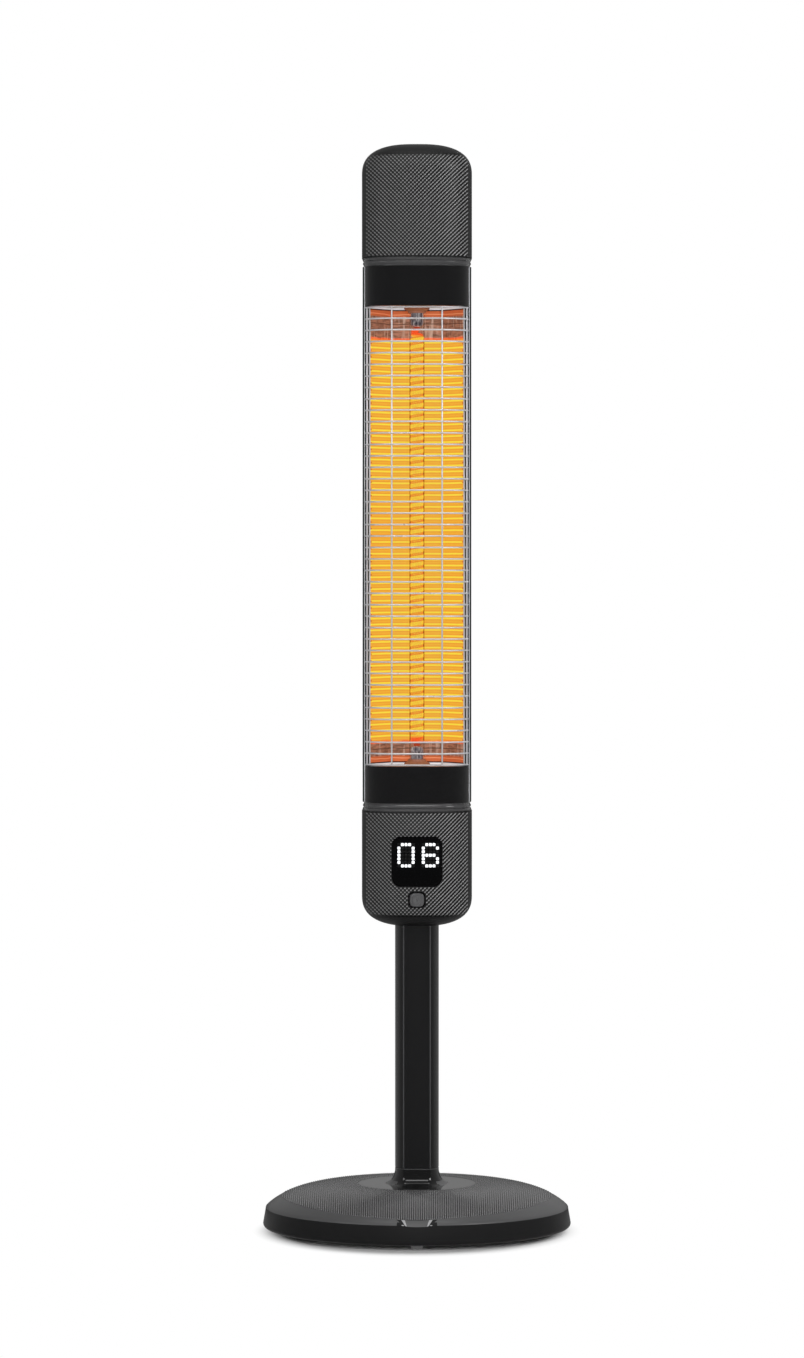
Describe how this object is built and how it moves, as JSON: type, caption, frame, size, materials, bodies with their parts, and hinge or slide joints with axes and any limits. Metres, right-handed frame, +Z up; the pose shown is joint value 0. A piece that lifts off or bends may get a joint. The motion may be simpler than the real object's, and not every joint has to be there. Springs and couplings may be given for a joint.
{
  "type": "carbon heater",
  "caption": "Free-standing carbon tube heater: slim upright head with wire grille, reflector, dot display and push button, on a flat-sided pole and a round weighted stand.",
  "frame": {"origin": "on the floor, at the centre of the round stand, below the pole's axis", "axes": "+Z up along the pole, -Y towards the front with the grille and the display, +X to the right as seen from the front"},
  "size_m": [0.2956, 0.2956, 1.0432],
  "materials": {
    "stand_plastic": "satin black moulded plastic",
    "cap_plastic": "satin black plastic with a knurled front",
    "gloss_black": "gloss black",
    "black_metal": "satin black powder coat",
    "steel": "zinc-plated steel",
    "bright_steel": "bright polished steel",
    "aluminium": "plain",
    "copper_reflector": "polished copper-coloured sheet",
    "ceramic": "unglazed ceramic",
    "quartz": "clear quartz glass",
    "carbon": "glowing carbon fibre",
    "rubber": "matt",
    "circuit_board": "solder mask",
    "component_black": "moulded",
    "component_white": "moulded",
    "lead_insulation": "braided sleeve",
    "button_grey": "satin"
  },
  "bodies": {
    "heater": {"base_cover": "stand_plastic", "base_plate": "black_metal", "ballast_plate": "steel", "foot_front": "rubber", "foot_right": "rubber", "foot_rear": "rubber", "foot_left": "rubber", "cover_screw_1": "steel", "cover_screw_2": "steel", "cover_screw_3": "steel", "cover_screw_4": "steel", "pole_bolt_1": "steel", "pole_bolt_2": "steel", "pole": "black_metal", "pole_foot_plug": "aluminium", "head_bracket": "aluminium", "bracket_screw_1": "steel", "bracket_screw_2": "steel", "bracket_screw_3": "steel", "bracket_screw_4": "steel", "top_cap": "cap_plastic", "bottom_cap": "cap_plastic", "lower_trim_ring": "gloss_black", "upper_trim_ring": "gloss_black", "rear_casing": "black_metal", "lower_front_panel": "gloss_black", "upper_front_panel": "gloss_black", "casing_screw_1": "steel", "casing_screw_2": "steel", "casing_screw_3": "steel", "casing_screw_4": "steel", "grille": "bright_steel", "lower_end_plate": "bright_steel", "upper_end_plate": "bright_steel", "reflector": "copper_reflector", "lower_tube_holder": "ceramic", "upper_tube_holder": "ceramic", "quartz_tube": "quartz", "carbon_filament": "carbon", "lower_tube_terminal": "bright_steel", "upper_tube_terminal": "bright_steel", "upper_lead_wire": "lead_insulation", "lower_lead_wire": "lead_insulation", "thermal_cutout": "component_black", "display_lens": "gloss_black", "display_module": "component_black", "display_board": "circuit_board", "button_bezel": "gloss_black", "switch_body": "component_black", "display_ribbon": "component_white", "control_board": "circuit_board", "power_relay": "component_black", "terminal_block": "component_white", "tilt_switch": "bright_steel", "cable_gland": "component_black", "gland_nut": "component_black"},
    "power_button": {"button_cap": "button_grey", "switch_plunger": "component_white"}
  },
  "joints": [
    {"name": "power_button_press", "type": "slide", "parent": "heater", "child": "power_button", "axis": [0, 1, 0], "range_m": [0, 0.001], "stiffness_N_per_m": 500}
  ]
}
